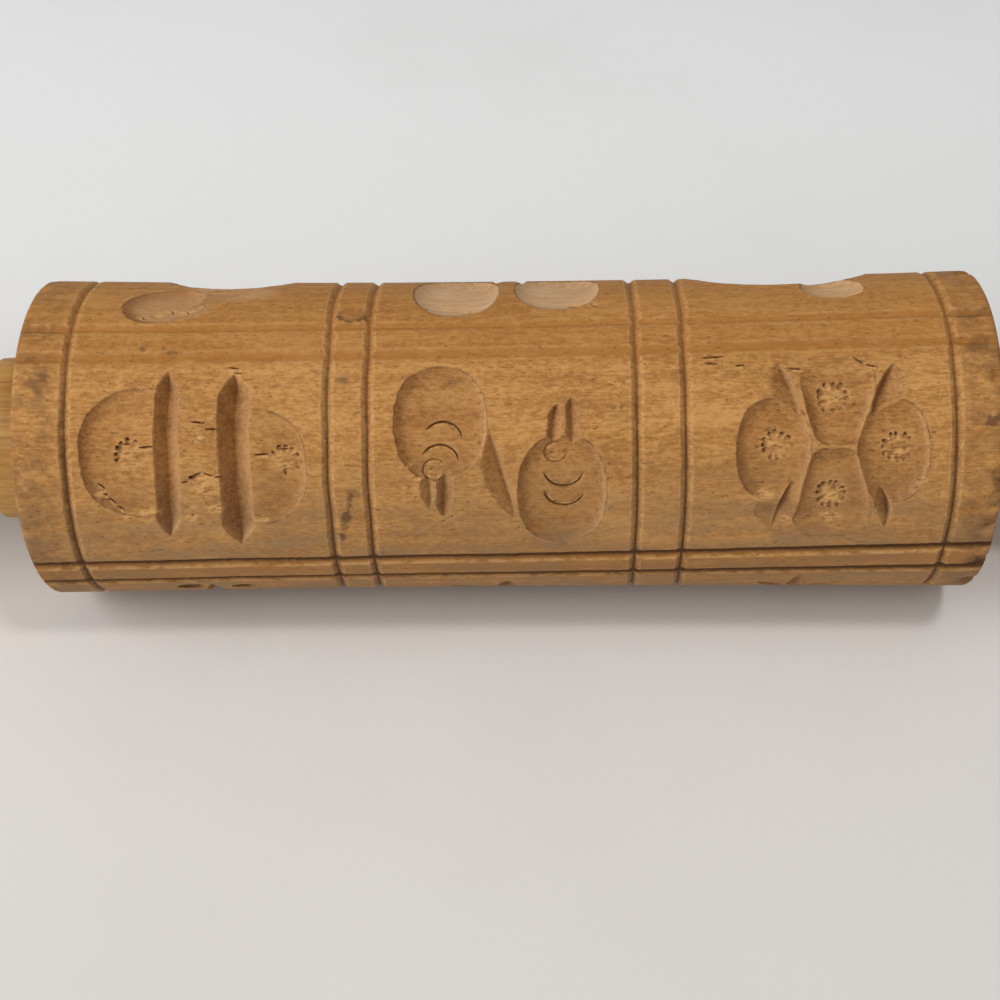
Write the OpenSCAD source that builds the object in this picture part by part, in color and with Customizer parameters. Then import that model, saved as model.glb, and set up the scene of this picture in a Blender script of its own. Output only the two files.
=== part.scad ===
// Springerle roller: a carved wooden roller that runs on a steel axle between two turned handles.
// Millimetres. X runs along the axle, Z is up, and the origin is the middle of the roller on its axis.
// On the skin, u runs along the axle and v runs round the roller, upwards on the side that faces -Y.

/* [Roller] */
// Diameter of the roller
roller_d = 60; // [54:1:68]
// Length of one carved panel along the roller
panel_len = 46; // [43:1:52]
// Plain strip between two panels, from ring groove to ring groove
ring_gap = 8; // [6:0.5:12]
// Plain margin from the outermost ring groove to the end of the roller
end_margin = 10; // [8:0.5:14]
// Rounding of the two rims of the roller
rim_round = 1.5; // [0.5:0.25:2.5]
// Turn of the lowest pair of rails past straight down when the part lies on a table
rest_turn = 10.1; // [9:0.1:12]

/* [Grooves] */
// Width of a ring groove at the skin
ring_w = 1.9; // [1.2:0.1:2.6]
// Depth of a ring groove
ring_deep = 0.9; // [0.5:0.1:1.4]
// Width of a lengthwise rail groove at the skin
rail_w = 2.6; // [1.6:0.1:3.2]
// Depth of a lengthwise rail groove
rail_deep = 1.2; // [0.6:0.1:1.8]
// Strip between the two rails of a pair, from groove to groove round the skin
rail_gap = 6.4; // [5:0.2:8]
// Angle that the front row of panels takes of the full turn
front_span = 87; // [84:1:93]

/* [Carving] */
// Length of one unit in the drawings of the motifs
motif_unit = 1; // [0.9:0.02:1.08]
// Hollow of a bowl below the flat cut that its outline needs
bowl_bite = 0.5; // [0.3:0.05:0.9]
// Hollow of a leaf cut below the flat cut that its outline needs
leaf_bite = 0.9; // [0.6:0.05:1.3]
// Hollow of a thin stem cut below the flat cut that its outline needs
stem_bite = 0.7; // [0.4:0.05:1]
// Depth of the long bar cuts
bar_deep = 2.2; // [1.4:0.1:2.8]
// Length of the tapering tip of a bar cut
bar_tip = 5; // [4:0.5:7]
// Depth that the tip of a bar cut runs below the bar
bar_tip_extra = 0.1; // [0.05:0.05:0.3]
// Width of a stop cut made with a curved gouge pressed straight in
stop_w = 0.6; // [0.4:0.1:1]
// Depth of a stop cut below the floor that it stands in
stop_deep = 0.7; // [0.4:0.1:1.2]

/* [Handles] */
// Length of a handle
handle_len = 100; // [85:1:120]
// Diameter of the collar next to the roller
collar_d = 31; // [30:0.5:34]
// Length of the collar
collar_len = 9; // [7:0.5:14]
// Rounding of the edges of the collar
collar_round = 0.8; // [0.4:0.1:1.5]
// Radius of the cove behind the collar
cove_round = 4.2; // [3:0.2:4.4]
// Depth of the cove below the start of the grip
cove_dip = 0.3; // [0.2:0.1:0.6]
// Largest diameter of the grip
grip_d = 28.4; // [26:0.2:29]
// Distance from the inner face of the handle to the thickest place of the grip
grip_peak = 62; // [55:1:66]
// Radius of the long swelling of the grip
grip_bow = 300; // [280:10:420]
// Rounding of the outer end of the handle
end_round = 8; // [6:0.5:9]
// Step by which the rounding of the end starts outside the grip
end_ease = 0.15; // [0.1:0.05:0.3]

/* [Axle] */
// Diameter of the axle rod
rod_d = 8; // [7:0.5:9]
// Diameter of the reduced studs at the ends of the rod
stud_d = 6; // [5:0.5:6.5]
// Length that a stud stands out of its nut
stud_proud = 1; // [0.5:0.25:2]
// Chamfer on the tips of the studs
stud_chamfer = 0.6; // [0.3:0.1:1]
// Thickness of the web of wood that the nut pulls against
web_len = 8; // [6:0.5:12]
// Depth of the nut recess in the outer end of the handle
recess_deep = 14; // [13.5:0.5:18]
// Diameter of the nut recess
recess_d = 13; // [12.8:0.2:14]
// Width of the nut across its flats
nut_af = 10; // [8:0.5:10.5]
// Height of the nut
nut_h = 5; // [4:0.25:5.5]
// Diameter of the washer under the nut
nut_washer_d = 12; // [11.5:0.1:12.5]
// Thickness of the washer under the nut
nut_washer_t = 1.6; // [1:0.1:1.8]
// Length of the wooden plug that closes the recess
plug_len = 5; // [4:0.25:5]
// Rise of the domed face of the plug
plug_dome = 0.7; // [0.4:0.1:1.2]

/* [Bearings] */
// Diameter of the bush barrel in the end of the roller
bush_d = 14; // [13:0.5:17]
// Length of the bush, flange included
bush_len = 18; // [14:1:24]
// Diameter of the bush flange
flange_d = 22; // [20:0.5:26]
// Thickness of the bush flange
flange_t = 2; // [1.5:0.25:3]
// Diameter of the thrust washer between roller and handle
thrust_d = 20; // [18:0.5:24]
// Thickness of the thrust washer
thrust_t = 0.8; // [0.6:0.1:1.4]

/* [Clearances] */
// Gap between axle and bush, on the radius
run_slip = 0.08; // [0.04:0.02:0.1]
// Free gap between the thrust washer and the end of the roller
end_play = 0.15; // [0.1:0.05:0.4]
// Gap of a pressed or glued piece in its seat, on the radius
press_slip = 0.05; // [0.02:0.01:0.1]
// Gap of a washer round its rod, on the radius
washer_slip = 0.2; // [0.1:0.05:0.4]
// Gap between the rod and the plain bore through the roller, on the radius
core_slip = 1; // [0.6:0.1:2]

/* [Hidden] */
$fn = 96;
// Finer sides for the long swelling of the grip
bow_fn = 960;
// Reach of a drill or saw cut past the piece
beyond = 1;
// Reach of a carving cut above the skin and past its ends
lift = 0.6;
overrun = 1.25;
carved_wood = "#b07c48";
handle_wood = "#c39a5a";
steel = "#a9adb2";
nylon = "#e6dfd0";

roller_r = roller_d / 2;
columns = 3;
panel_pitch = panel_len + ring_gap;
outer_ring = panel_pitch + panel_len / 2;
roller_half = outer_ring + end_margin;
skin_turn = 180 / (PI * roller_r);

// Turns of the bands and rows from +Z towards -Y; the roller lies on the plain strip beside a pair of rails.
rail_turn = rail_gap / 2 * skin_turn;
other_span = (360 - front_span) / 3;
front_turn = 180 - front_span / 2 - other_span + rest_turn;
side_step = (front_span + other_span) / 2;
row_turns = [front_turn, front_turn + side_step, front_turn + 180, front_turn - side_step];
band_turns = [for (side = [-1, 1], step = [0, 1]) front_turn + side * (front_span / 2 + step * other_span)];
ring_places = [for (side = [-1, 1], x = [panel_len / 2, panel_pitch - panel_len / 2, outer_ring]) side * x];

handle_at = roller_half + end_play + thrust_t;
collar_r = collar_d / 2;
grip_r = grip_d / 2;
web_at = handle_len - recess_deep - web_len;
recess_at = web_at + web_len;
rod_half = handle_at + web_at;
stud_len = web_len + nut_washer_t + nut_h + stud_proud;
plug_d = recess_d - 2 * press_slip;

// Motif drawings in motif units, measured from the middle of a panel.
// Bowls are [u, v, half width, half height, turn], leaves and stems are [tip u, tip v, tip u, tip v, width],
// bars are [u, low v, high v, width] and stops are [u, v, radius, from, to, floor below the skin].
barred_bowls = [[-11.5, 1, 9.5, 11.5, 0], [12, -0.5, 7.5, 10, 0], [0, 0, 4.5, 11.5, 0]];
barred_bars = [[-6, -14.5, 15.5, 4.7], [6, -16, 15, 5.8]];

fruit_bowls = [[-11.5, 6, 8.5, 10.5, 0], [10, -6.5, 8, 10.2, 0]];
fruit_leaves = [[-3.4, 6, 1.6, -9, 4.2], [-0.4, -4, 5, -19.5, 2]];
fruit_stems = [[-13.6, -3, -13.6, -9, 1.3], [-11.3, -3, -11.3, -11, 1.5], [9.8, 2.5, 9.8, 9, 1.5],
    [11.2, 2.5, 11.2, 9.8, 1.5]];
fruit_stops = [[-11, 2.5, 3.3, 0, 180, 2], [-11.5, -1, 3.4, 0, 180, 1.3], [-12.5, -2, 2, 0, 360, 0.9],
    [8.8, 1, 1.9, 0, 360, 1], [10.3, -2.3, 3.5, 180, 360, 1.7], [10.3, -5.8, 3.5, 180, 360, 2]];

flower_bowls = [[-7, 1.5, 7, 8.5, 0], [4, 8.5, 7, 7.5, 0], [14, 0.5, 6, 9, 0], [3.5, -8, 7, 8.5, 0]];
flower_leaves = [[-6, 16, -2, 6, 3.6], [14, 15.5, 9.5, 5, 3.6], [-2, -3, -9.5, -13.5, 3.6], [8, -3.5, 13.5, -14.5, 3.6]];

tulip_bowls = [[-0.5, -2, 8.5, 8, 0]];
tulip_leaves = [[-7, 16.5, -4.5, 3, 4], [-0.5, 16, -0.5, 3, 4], [6, 16.5, 3.5, 3, 4], [-3, -9, -13, 1, 3.4],
    [2, -9, 12, 1, 3.4]];
tulip_stems = [[-0.5, -8, -0.5, -17, 1.6]];

star_points = 8;
star_inner = 3.6;
star_outer = 14.5;
star_width = 3.8;
star_heart = [[0, 0, 3, 3, 0]];

ear_stem = [[0, -16, 0, 4, 1.6]];
ear_tip = [0, 6, 0, 17, 3.4];
ear_grain = [1.2, -9, 7.5, -2, 3.2];
ear_step = 5;
ear_pairs = 4;

heart_bowls = [[-5.5, 4, 6.5, 7.5, 20], [5.5, 4, 6.5, 7.5, -20], [0, -4, 6, 9, 0]];
heart_leaves = [[-14, 14, -7, 15.5, 2.6], [14, 14, 7, 15.5, 2.6], [-16, -12, -7, -9, 3], [16, -12, 7, -9, 3]];

sprig_bowls = [[-9, 8, 4.2, 4.6, 0], [9, 6, 4.2, 4.6, 0], [0, 13, 4.2, 4.6, 0]];
sprig_leaves = [[-1, -4, -14, -2, 3.8], [1, -8, 14, -5, 3.8], [-1, -12, -11, -13, 3.2]];
sprig_stems = [[0, -17, 0, 8, 1.6], [-0.5, -1, -7, 5, 1.4], [0.5, -3, 7, 3, 1.4]];

rosette_petals = 6;
rosette_reach = 9.5;
rosette_petal = [4.4, 5.2];
rosette_heart = [[0, 0, 3.4, 3.4, 0]];

notched_bowls = [[-6.5, -12, 8, 7, 25], [0.5, 5, 9.5, 8, 0]];
notched_leaves = [[-6, -13, 9, -8.5, 4]];
notched_row = [-11, -13.5, 3.2, 0.75];
notched_count = 5;
notched_size = [2.6, 1.2];

cherry_bowls = [[-9.5, -9, 7, 9.5, 0], [10, -8.5, 7, 9, 0]];
cherry_leaves = [[-0.5, -8, -0.5, 12, 4]];
cherry_stems = [[-9, 0, -2.5, 14, 1.6], [9.5, 0, 2, 14, 1.6]];

gourd_bowls = [[0, 5, 17, 8, 0], [7.5, -7, 7.2, 7.5, 0]];
gourd_leaves = [[-15, -5, -4, -14, 3.8]];

// Drop of the skin over a half length; share is 0 along the axle and 1 straight round the roller
function skin_fall(half, share) = half * half * share * share / roller_d;

// Radius of the grip's long swelling at a distance from the inner face of the handle
function bow_r(s) = grip_r - grip_bow + sqrt(grip_bow * grip_bow - (s - grip_peak) * (s - grip_peak));

// Upright on the skin at [u, v]
module on_skin(at) {
    translate([at[0], 0, 0])
        rotate([-at[1] * skin_turn, 0, 0])
            translate([0, 0, roller_r])
                children();
}

// Round bar along X between two places
module round_x(from, to, d) {
    translate([from, 0, 0])
        rotate([0, 90, 0])
            cylinder(d = d, h = to - from);
}

// Solid turned about X from an outline drawn as [radius, distance along X]
module turned_x() {
    rotate([0, 90, 0])
        rotate_extrude()
            children();
}

// Ring about X
module ring_x(from, to, d, hole) {
    difference() {
        round_x(from, to, d);
        round_x(from - beyond, to + beyond, hole);
    }
}

// Hollow swept by a round gouge along an arc
module bowl(cut) {
    half = [cut[2], cut[3]] * motif_unit;
    fall = [skin_fall(half[0], sin(cut[4])), skin_fall(half[1], cos(cut[4]))];
    deep = max(fall) + bowl_bite;
    bend = [for (i = [0, 1]) half[i] * half[i] / (2 * (deep - fall[i]))];
    along = bend[0] > bend[1];
    tool = min(bend);
    sweep = max(bend);
    open = asin(min(1, overrun * half[along ? 0 : 1] / sweep));
    on_skin([cut[0], cut[1]] * motif_unit)
        rotate([0, 0, cut[4]])
            translate([0, 0, sweep - deep])
                rotate([0, 90, along ? 90 : 0])
                    rotate([0, 0, -open])
                        rotate_extrude(angle = 2 * open)
                            intersection() {
                                translate([sweep - tool, 0])
                                    circle(tool);
                                translate([sweep - deep - lift, -tool])
                                    square([deep + lift + beyond, 2 * tool]);
                            }
}

// Hollow of a V tool that dips in and out along an arc
module v_dip(mid, turn, half, width, deep) {
    wheel = half * half / (2 * (deep - skin_fall(half, sin(turn))));
    rise = deep + lift;
    flank = rise * width / (2 * deep);
    open = asin(min(1, overrun * half / wheel));
    on_skin(mid)
        rotate([0, 0, turn])
            translate([0, 0, wheel - deep])
                rotate([0, 90, 90])
                    rotate([0, 0, -open])
                        rotate_extrude(angle = 2 * open)
                            polygon([[wheel, 0], [wheel - rise, flank], [wheel - rise, -flank]]);
}

// V cut from tip to tip
module leaf(cut, bite) {
    run = [cut[2] - cut[0], cut[3] - cut[1]] * motif_unit;
    turn = atan2(run[1], run[0]);
    half = norm(run) / 2;
    mid = [cut[0], cut[1]] * motif_unit + run / 2;
    v_dip(mid, turn, half, cut[4] * motif_unit, skin_fall(half, sin(turn)) + bite);
}

// V cut of even width round the roller with tapering tips
module bar(cut) {
    u = cut[0] * motif_unit;
    low = cut[1] * motif_unit + bar_tip;
    high = cut[2] * motif_unit - bar_tip;
    width = cut[3] * motif_unit;
    tip_deep = bar_deep + bar_tip_extra;
    translate([u, 0, 0])
        rotate([90, 0, 90])
            rotate([0, 0, 90 - high * skin_turn])
                rotate_extrude(angle = (high - low) * skin_turn)
                    polygon([[roller_r - bar_deep, 0], [roller_r + bar_deep, -width], [roller_r + bar_deep, width]]);
    for (v = [low, high])
        v_dip([u, v], 90, bar_tip, width * tip_deep / bar_deep, tip_deep);
}

// Upright curved cut of a gouge pressed into a floor
module stop(cut) {
    r = cut[2] * motif_unit;
    deep = cut[5] * motif_unit + stop_deep;
    on_skin([cut[0], cut[1]] * motif_unit)
        rotate([0, 0, cut[3]])
            translate([0, 0, -deep])
                rotate_extrude(angle = cut[4] - cut[3])
                    translate([r - stop_w / 2, 0])
                        square([stop_w, deep + beyond]);
}

module bowls(cuts) {
    for (cut = cuts)
        bowl(cut);
}

module leaves(cuts) {
    for (cut = cuts)
        leaf(cut, leaf_bite);
}

module stems(cuts) {
    for (cut = cuts)
        leaf(cut, stem_bite);
}

module barred_motif() {
    bowls(barred_bowls);
    for (cut = barred_bars)
        bar(cut);
}

module fruit_motif() {
    bowls(fruit_bowls);
    leaves(fruit_leaves);
    stems(fruit_stems);
    for (cut = fruit_stops)
        stop(cut);
}

module flower_motif() {
    bowls(flower_bowls);
    leaves(flower_leaves);
}

module tulip_motif() {
    bowls(tulip_bowls);
    leaves(tulip_leaves);
    stems(tulip_stems);
}

module star_motif() {
    bowls(star_heart);
    leaves([for (i = [0 : star_points - 1])
        let (a = i * 360 / star_points, way = [cos(a), sin(a)])
        [way[0] * star_inner, way[1] * star_inner, way[0] * star_outer, way[1] * star_outer, star_width]]);
}

module ear_motif() {
    stems(ear_stem);
    leaves([ear_tip]);
    leaves([for (i = [0 : ear_pairs - 1], side = [-1, 1])
        [side * ear_grain[0], ear_grain[1] + i * ear_step, side * ear_grain[2], ear_grain[3] + i * ear_step,
            ear_grain[4]]]);
}

module heart_motif() {
    bowls(heart_bowls);
    leaves(heart_leaves);
}

module sprig_motif() {
    bowls(sprig_bowls);
    leaves(sprig_leaves);
    stems(sprig_stems);
}

module rosette_motif() {
    bowls(rosette_heart);
    bowls([for (i = [0 : rosette_petals - 1])
        let (a = i * 360 / rosette_petals)
        [cos(a) * rosette_reach, sin(a) * rosette_reach, rosette_petal[0], rosette_petal[1], 0]]);
}

module notched_motif() {
    bowls(notched_bowls);
    leaves(notched_leaves);
    leaves([for (i = [0 : notched_count - 1])
        let (u = notched_row[0] + i * notched_row[2], v = notched_row[1] + i * notched_row[3])
        [u, v - notched_size[0], u, v + notched_size[0], notched_size[1]]]);
}

module cherry_motif() {
    bowls(cherry_bowls);
    leaves(cherry_leaves);
    stems(cherry_stems);
}

module gourd_motif() {
    bowls(gourd_bowls);
    leaves(gourd_leaves);
}

// One motif for each panel, counted along the front row first and then row by row round the roller
module motif(panel) {
    if (panel == 0) barred_motif();
    if (panel == 1) fruit_motif();
    if (panel == 2) flower_motif();
    if (panel == 3) tulip_motif();
    if (panel == 4) star_motif();
    if (panel == 5) ear_motif();
    if (panel == 6) heart_motif();
    if (panel == 7) sprig_motif();
    if (panel == 8) rosette_motif();
    if (panel == 9) notched_motif();
    if (panel == 10) cherry_motif();
    if (panel == 11) gourd_motif();
}

// Blank with its grooves and as many carved panels as asked for
module carved_blank(panels) {
    difference() {
        if (panels > 0)
            carved_blank(panels - 1);
        else
            roller_blank();
        if (panels > 0)
            translate([((panels - 1) % columns - 1) * panel_pitch, 0, 0])
                rotate([row_turns[floor((panels - 1) / columns)], 0, 0])
                    motif(panels - 1);
        else
            grooves();
    }
}

// V grooves that part the panels
module grooves() {
    for (x = ring_places)
        turned_x()
            polygon([[roller_r - ring_deep, x], [roller_r + ring_deep, x - ring_w], [roller_r + ring_deep, x + ring_w]]);
    for (turn = band_turns, side = [-1, 1])
        rotate([turn + side * rail_turn, 0, 0])
            translate([-roller_half - beyond, 0, roller_r])
                rotate([90, 0, 90])
                    linear_extrude(2 * (roller_half + beyond))
                        polygon([[0, -rail_deep], [rail_w, rail_deep], [-rail_w, rail_deep]]);
}

module roller_blank() {
    turned_x() {
        translate([0, -roller_half])
            square([roller_r - rim_round, 2 * roller_half]);
        translate([0, rim_round - roller_half])
            square([roller_r, 2 * (roller_half - rim_round)]);
        for (end = [-1, 1])
            translate([roller_r - rim_round, end * (roller_half - rim_round)])
                circle(rim_round);
    }
}

// Bore for the rod with a stepped seat for a bush at each end
module roller_bores() {
    reach = roller_half + beyond;
    round_x(-reach, reach, rod_d + 2 * core_slip);
    for (side = [0, 1])
        mirror([side, 0, 0]) {
            round_x(roller_half - bush_len, reach, bush_d + 2 * press_slip);
            round_x(roller_half - flange_t, reach, flange_d + 2 * press_slip);
        }
}

module roller() {
    color(carved_wood)
        difference() {
            carved_blank(columns * len(row_turns));
            roller_bores();
        }
}

module axle_rod() {
    color(steel) {
        round_x(-rod_half, rod_half, rod_d);
        for (side = [0, 1])
            mirror([side, 0, 0]) {
                round_x(rod_half, rod_half + stud_len - stud_chamfer, stud_d);
                translate([rod_half + stud_len - stud_chamfer, 0, 0])
                    rotate([0, 90, 0])
                        cylinder(d1 = stud_d, d2 = stud_d - 2 * stud_chamfer, h = stud_chamfer);
            }
    }
}

// Flanged bush at the +X end
module bush() {
    color(nylon)
        difference() {
            union() {
                round_x(roller_half - bush_len, roller_half, bush_d);
                round_x(roller_half - flange_t, roller_half, flange_d);
            }
            round_x(roller_half - bush_len - beyond, roller_half + beyond, rod_d + 2 * run_slip);
        }
}

module thrust_washer() {
    color(steel)
        ring_x(handle_at - thrust_t, handle_at, thrust_d, rod_d + 2 * washer_slip);
}

// Outline of a handle as [radius, distance from the inner face]
module handle_outline() {
    neck_at = collar_len + cove_round;
    neck_r = bow_r(neck_at) - cove_dip;
    end_at = handle_len - end_round;
    end_mid = bow_r(end_at) + end_ease - end_round;
    square([collar_r - collar_round, collar_len]);
    translate([0, collar_round])
        square([collar_r, collar_len - 2 * collar_round]);
    for (s = [collar_round, collar_len - collar_round])
        translate([collar_r - collar_round, s])
            circle(collar_round);
    difference() {
        translate([0, collar_len])
            square([neck_r + cove_round, cove_round]);
        translate([neck_r + cove_round, neck_at])
            circle(cove_round);
    }
    intersection() {
        translate([grip_r - grip_bow, grip_peak])
            circle(grip_bow, $fn = bow_fn);
        translate([0, collar_len])
            square([grip_r, handle_len - collar_len]);
        union() {
            square([collar_r, end_at]);
            square([end_mid, handle_len]);
            translate([end_mid, end_at])
                circle(end_round);
        }
    }
}

// Handle at the +X end, with the bore for the rod, the web and the recess for the nut
module handle() {
    color(handle_wood)
        translate([handle_at, 0, 0])
            difference() {
                turned_x()
                    handle_outline();
                round_x(-beyond, web_at, rod_d + 2 * press_slip);
                round_x(-beyond, recess_at + beyond, stud_d + 2 * washer_slip);
                round_x(recess_at, handle_len + beyond, recess_d);
            }
}

module nut_washer() {
    seat = handle_at + recess_at;
    color(steel)
        ring_x(seat, seat + nut_washer_t, nut_washer_d, stud_d + 2 * washer_slip);
}

module nut() {
    seat = handle_at + recess_at + nut_washer_t;
    color(steel)
        difference() {
            translate([seat, 0, 0])
                rotate([0, 90, 0])
                    cylinder(d = nut_af / cos(30), h = nut_h, $fn = 6);
            round_x(seat - beyond, seat + nut_h + beyond, stud_d + 2 * press_slip);
        }
}

// Wooden plug with a domed face, level with the end of the handle
module plug() {
    tip = handle_at + handle_len;
    dome_r = (plug_d * plug_d / 4 + plug_dome * plug_dome) / (2 * plug_dome);
    color(handle_wood)
        intersection() {
            round_x(tip - plug_len, tip, plug_d);
            translate([tip - dome_r, 0, 0])
                sphere(dome_r);
        }
}

module left_side() {
    mirror([1, 0, 0])
        children();
}

roller();
axle_rod();
left_side() bush();  // left_bush
bush();  // right_bush
left_side() thrust_washer();  // left_washer
thrust_washer();  // right_washer
left_side() handle();  // left_handle
handle();  // right_handle
left_side() nut_washer();  // left_nut_washer
nut_washer();  // right_nut_washer
left_side() nut();  // left_nut
nut();  // right_nut
left_side() plug();  // left_plug
plug();  // right_plug
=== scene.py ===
import math

import bpy
import numpy as np
from mathutils import Matrix, Vector


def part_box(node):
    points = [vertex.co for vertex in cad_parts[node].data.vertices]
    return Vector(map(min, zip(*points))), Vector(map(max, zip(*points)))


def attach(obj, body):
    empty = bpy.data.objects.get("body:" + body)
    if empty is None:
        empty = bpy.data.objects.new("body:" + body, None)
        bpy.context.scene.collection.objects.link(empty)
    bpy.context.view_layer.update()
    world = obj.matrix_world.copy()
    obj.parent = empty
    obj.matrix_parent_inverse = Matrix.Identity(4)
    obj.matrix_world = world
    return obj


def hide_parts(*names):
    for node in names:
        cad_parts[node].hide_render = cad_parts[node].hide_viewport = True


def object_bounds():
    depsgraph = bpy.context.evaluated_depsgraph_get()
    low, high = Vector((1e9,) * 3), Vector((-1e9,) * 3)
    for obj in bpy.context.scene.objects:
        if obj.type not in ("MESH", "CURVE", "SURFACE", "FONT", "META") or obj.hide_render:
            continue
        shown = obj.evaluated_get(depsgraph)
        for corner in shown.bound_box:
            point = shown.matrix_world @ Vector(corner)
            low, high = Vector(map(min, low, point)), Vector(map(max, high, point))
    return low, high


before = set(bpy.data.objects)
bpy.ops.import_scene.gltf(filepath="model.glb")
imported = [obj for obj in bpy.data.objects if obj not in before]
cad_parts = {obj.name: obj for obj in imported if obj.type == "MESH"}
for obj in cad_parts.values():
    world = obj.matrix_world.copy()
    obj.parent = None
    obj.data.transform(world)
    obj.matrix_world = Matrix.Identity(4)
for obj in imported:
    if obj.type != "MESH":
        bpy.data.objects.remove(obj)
cadBox = [list(corner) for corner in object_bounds()]
scene = bpy.context.scene
mm = 0.001  # pieces, motifs and the camera are in millimetres, materials, floor and lights in metres
print("frame loaded:", len(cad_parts), "nodes")


# the lowest and highest reach of a node along an axis, in millimetres
def spanOf(name, axis):
    return [round(corner[axis] / mm, 3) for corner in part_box(name)]


# the roller: blank, panels, parting grooves, wear, bore, and how the skin is divided for the mesh
roller = dict(
    radius=spanOf("roller", 2)[1], half=spanOf("roller", 0)[1], rimRound=1.5, waist=0.85, bow=0.25,
    pitch=54.0, panel=(22.0, 20.5),  # from panel to panel, and half a panel along and round
    rings=(-77.4, -31.2, -24.2, 23.2, 31.7, 78.5), ringWidth=2.2, ringDeep=0.7, ringWander=0.22,
    ringShade=(0.6, 0.34, 0.34, 0.34, 0.3, 0.28),
    frontSpan=87.0, restTurn=10.1,  # degrees that the front row spans, and the roller's turn at rest
    railGap=6.4, railWidth=2.6, railDeep=1.2, railWander=0.16,
    railWorn=0.35, railEnd=78.0, railEndWorn=0.8,  # depth share left in the upper pair, also past its end
    railSlip=(-0.25, 0.3, 1.9, 0.8), railTwist=(-0.0104, -0.017, -0.0246, -0.017), railSag=(0, 0, 0.9, 0),
    knockReach=(3.4, 2.4), knockDeep=(2.4, 1.0),  # on the right rim and on the left one
    handledFrom=79.0,  # where the dirt of hands starts
    flange=22.1, flangeDeep=2.0, bush=14.1, bushDeep=18.0, core=10.0, boreStrip=4.0,
    cell=0.15, leaf=8, lip=0.4, straight=0.035, toneStep=0.3, faceRings=(25.0, 18.0), sharp=32,
)
skinHalf = roller["half"] - roller["rimRound"]  # where the skin ends and the rims start
skinTurn = 180 / (math.pi * roller["radius"])  # degrees round the skin for one millimetre
railTurn = roller["railGap"] / 2 * skinTurn
otherSpan = (360 - roller["frontSpan"]) / 3
frontTurn = 180 - roller["frontSpan"] / 2 - otherSpan + roller["restTurn"]
rowStep = (roller["frontSpan"] + otherSpan) / 2
rowTurns = [frontTurn, frontTurn + rowStep, frontTurn + 180, frontTurn - rowStep]
bandTurns = [frontTurn + side * (roller["frontSpan"] / 2 + step * otherSpan)
             for side in (-1, 1) for step in (0, 1)]
viewLift = 10.1  # degrees from the middle of the front row up to the camera
viewTurn = frontTurn - viewLift  # where the camera stands, from straight above towards the front

# how the tools bite; leaf, stem, bar, split and scratch depths are shares of the width
carving = dict(
    dishDeep=1.4, dishWall=3.2, dishSquare=2.3, hollowDeep=2.2, hollowWall=7.2,
    fanSquare=(9, 3), fanRise=2.3,  # how much squarer a spread dish is, narrow end first, and its rise
    moonWall=5.12, moonRidge=0.035, moonStep=1.1, moonSwing=9.0,
    leafDeep=0.34, leafSoft=0.6, stemDeep=0.42, stemSoft=0.3, stemTip=2.4,
    barDeep=0.46, barSoft=0.12, barTip=4.4, barScoop=1.5,
    stopWidth=0.36, stopDeep=0.5, stopLean=1.0, leanDeep=0.2,
    stampCount=12, stampReach=2.9, stampNotch=0.46, stampRun=1.7, stampDeep=0.9,
    splitWidth=0.33, splitDeep=2.2, scratchWidth=0.3, scratchDeep=0.3, shredDeep=0.35,
    chipDeep=0.75, chipWall=2.2, holeDeep=1.8, holeWall=0.9,
    edgeSoft=0.03, wander=0.13, wanderScale=5.0, ragged=0.13, raggedScale=(1.6, 0.9), worn=0.05,
)

# motifs in millimetres from the middle of a panel, u along the roller and v up the picture
# dishes (u, v, half width, half height, turn, rise of the floor to the right, spread to the top),
# hollows and holes the same but deeper, moons with the ridges of a gouge, chips corner by corner,
# leaves, bars and stems from tip to tip (u, v, u, v, width, bow, valley, a leaf's own depth),
# splits and scratches from tip to tip (u, v, u, v), stops and seeds (u, v, radius, from, to),
# stamps (u, v, share of its notches), torn wood (u, v, reach),
# scraped wood (u, v, half width, half height, strength)
barred = dict(
    dishes=[(-9.6, 0.9, 11.3, 12, 0, 1.35), (9.4, -1.8, 9.8, 11, 0, -1.35)],
    bars=[(-5.4, 16, -6.1, -15.6, 4.9, 0, 0.5), (6.5, 15.6, 6.4, -17.4, 6.2, 0, 0.47)],
    stamps=[(-12.1, 1, 0.6), (15.5, -0.3, 0.55), (0.8, -4.6, 0.3)],
    splits=[(-14, 2.6, -11, 2.9), (-10.8, 2, -7.4, 2.4), (-1.4, 6.8, 1.7, 6.5), (1.4, 5.4, 3.6, 5.5),
            (9.4, 0.5, 13.4, 0.9), (13.4, 1.7, 16.2, 1.8), (-1.7, -3.4, 0.6, -2.4),
            (0.5, -2.5, 2.6, -3.3), (2.5, -3.4, 4.2, -3.4), (-3.4, -4.3, -1.9, -4.2),
            (5.4, 16.9, 7.6, 16.6), (6, 15.9, 8.2, 15.6), (-18.2, -4.4, -16.8, -5.8),
            (-16.6, -7.2, -15, -8.6), (-15, -8.8, -13.4, -10), (-17.4, -6.6, -16.4, -7)],
    tornAndLit=[(-9.6, -10.4, 3), (-13, -10.8, 1.8), (1, -5.2, 2.8), (2.4, -9.6, 2.2), (-1.8, -9.2, 1.6),
          (-1.5, -11.2, 2), (-12, 0.6, 2.6), (15, -1, 2.4), (6.4, 16, 1.4), (-17.6, -6.6, 1.5),
          (10.4, -11.8, 1.6), (0.5, 3.6, 1.8)],
)
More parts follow.
